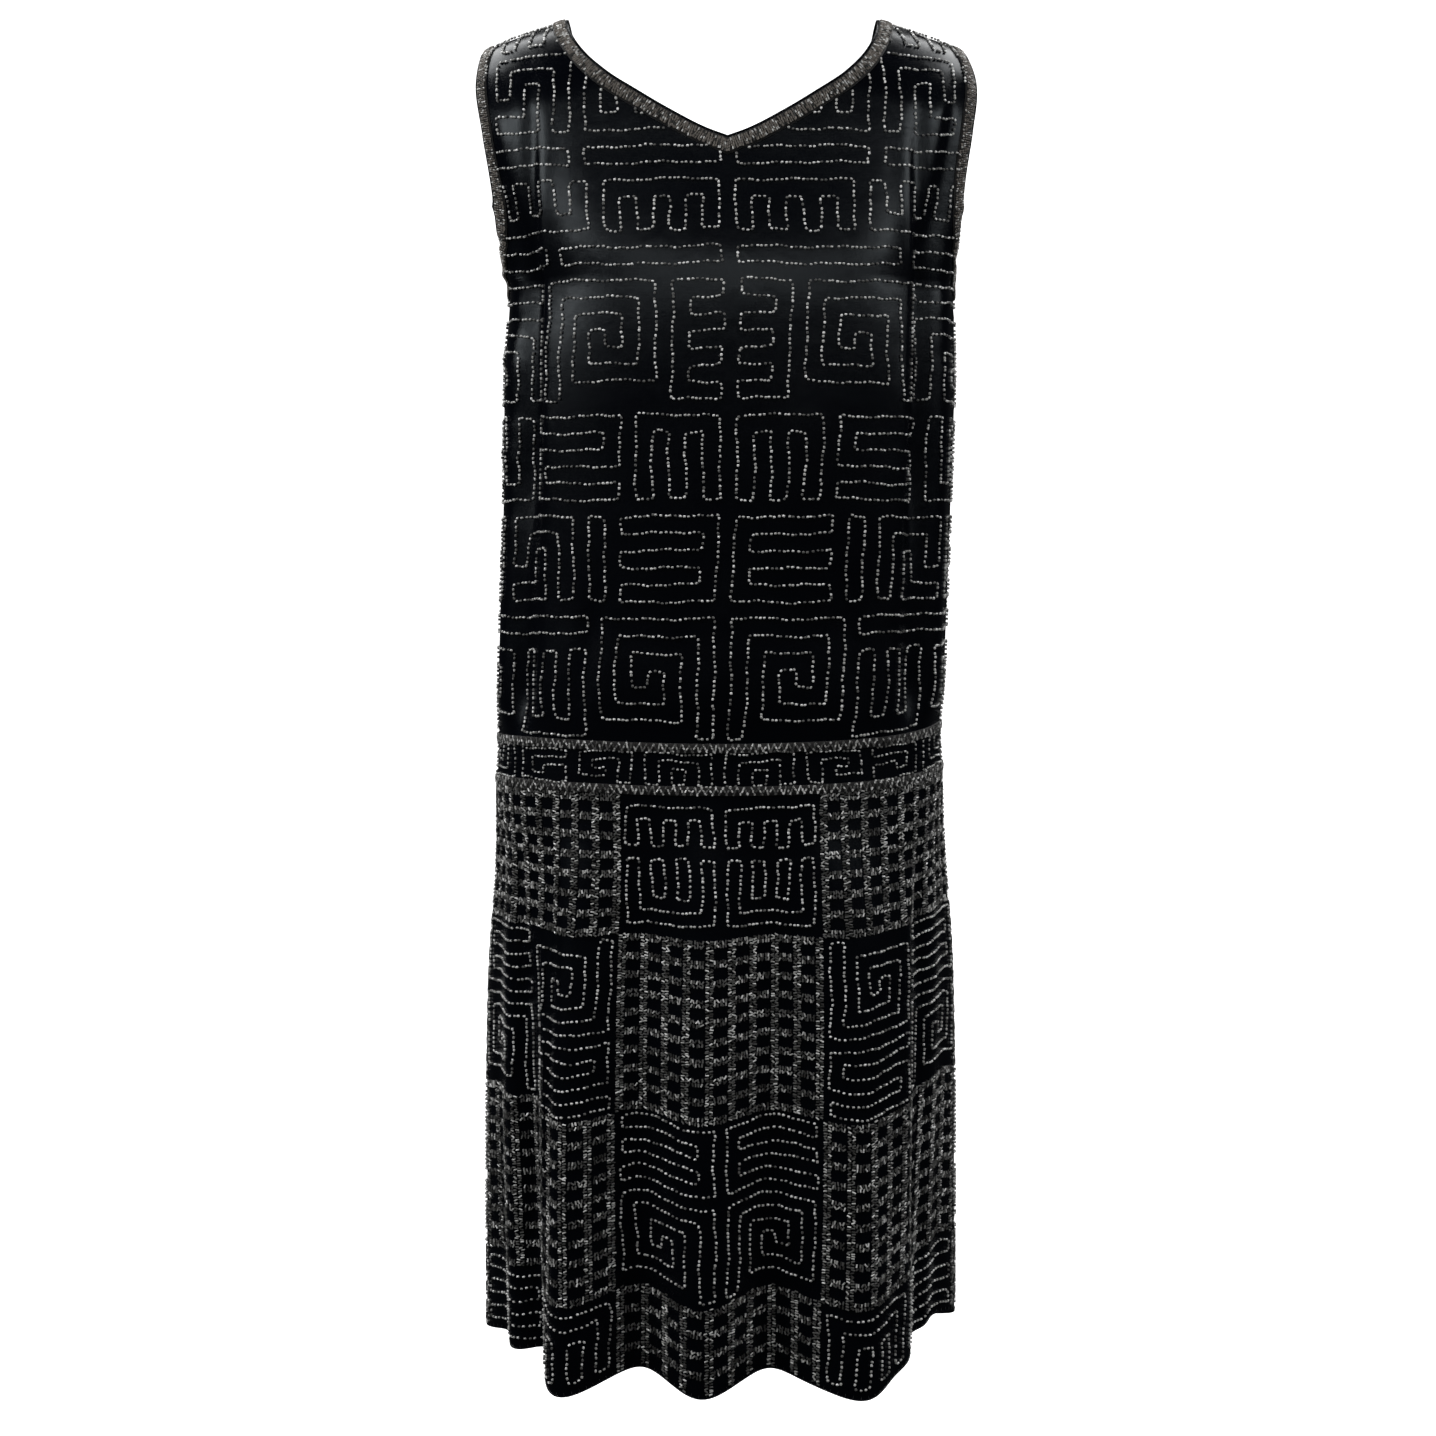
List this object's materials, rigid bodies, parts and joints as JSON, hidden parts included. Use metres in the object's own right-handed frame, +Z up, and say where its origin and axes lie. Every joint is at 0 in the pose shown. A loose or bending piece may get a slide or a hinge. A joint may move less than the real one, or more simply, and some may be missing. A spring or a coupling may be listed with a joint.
{
  "type": "sleeveless evening dress",
  "caption": "Straight sleeveless dropped-waist evening dress of beaded black silk, filled out as worn, with a V neck and knee-length skirt.",
  "frame": {"origin": "midway between the inner ends of the two shoulder seams, where a wearer holds the dress up", "axes": "+Z up, the front faces -Y, +X is the wearer's left"},
  "size_m": [0.374, 0.24, 1.0243],
  "materials": {
    "silk": "satin",
    "beads": "small glass seed beads sewn close together"
  },
  "bodies": {
    "root": {"bodice_front": "silk", "bodice_back": "silk", "hip_band_front": "silk", "hip_band_back": "silk", "skirt_front": "silk", "skirt_back": "silk", "neck_border_front": "beads", "neck_border_back": "beads", "armhole_border_left": "beads", "armhole_border_right": "beads", "hip_border_upper": "beads", "hip_border_lower": "beads"}
  },
  "joints": []
}
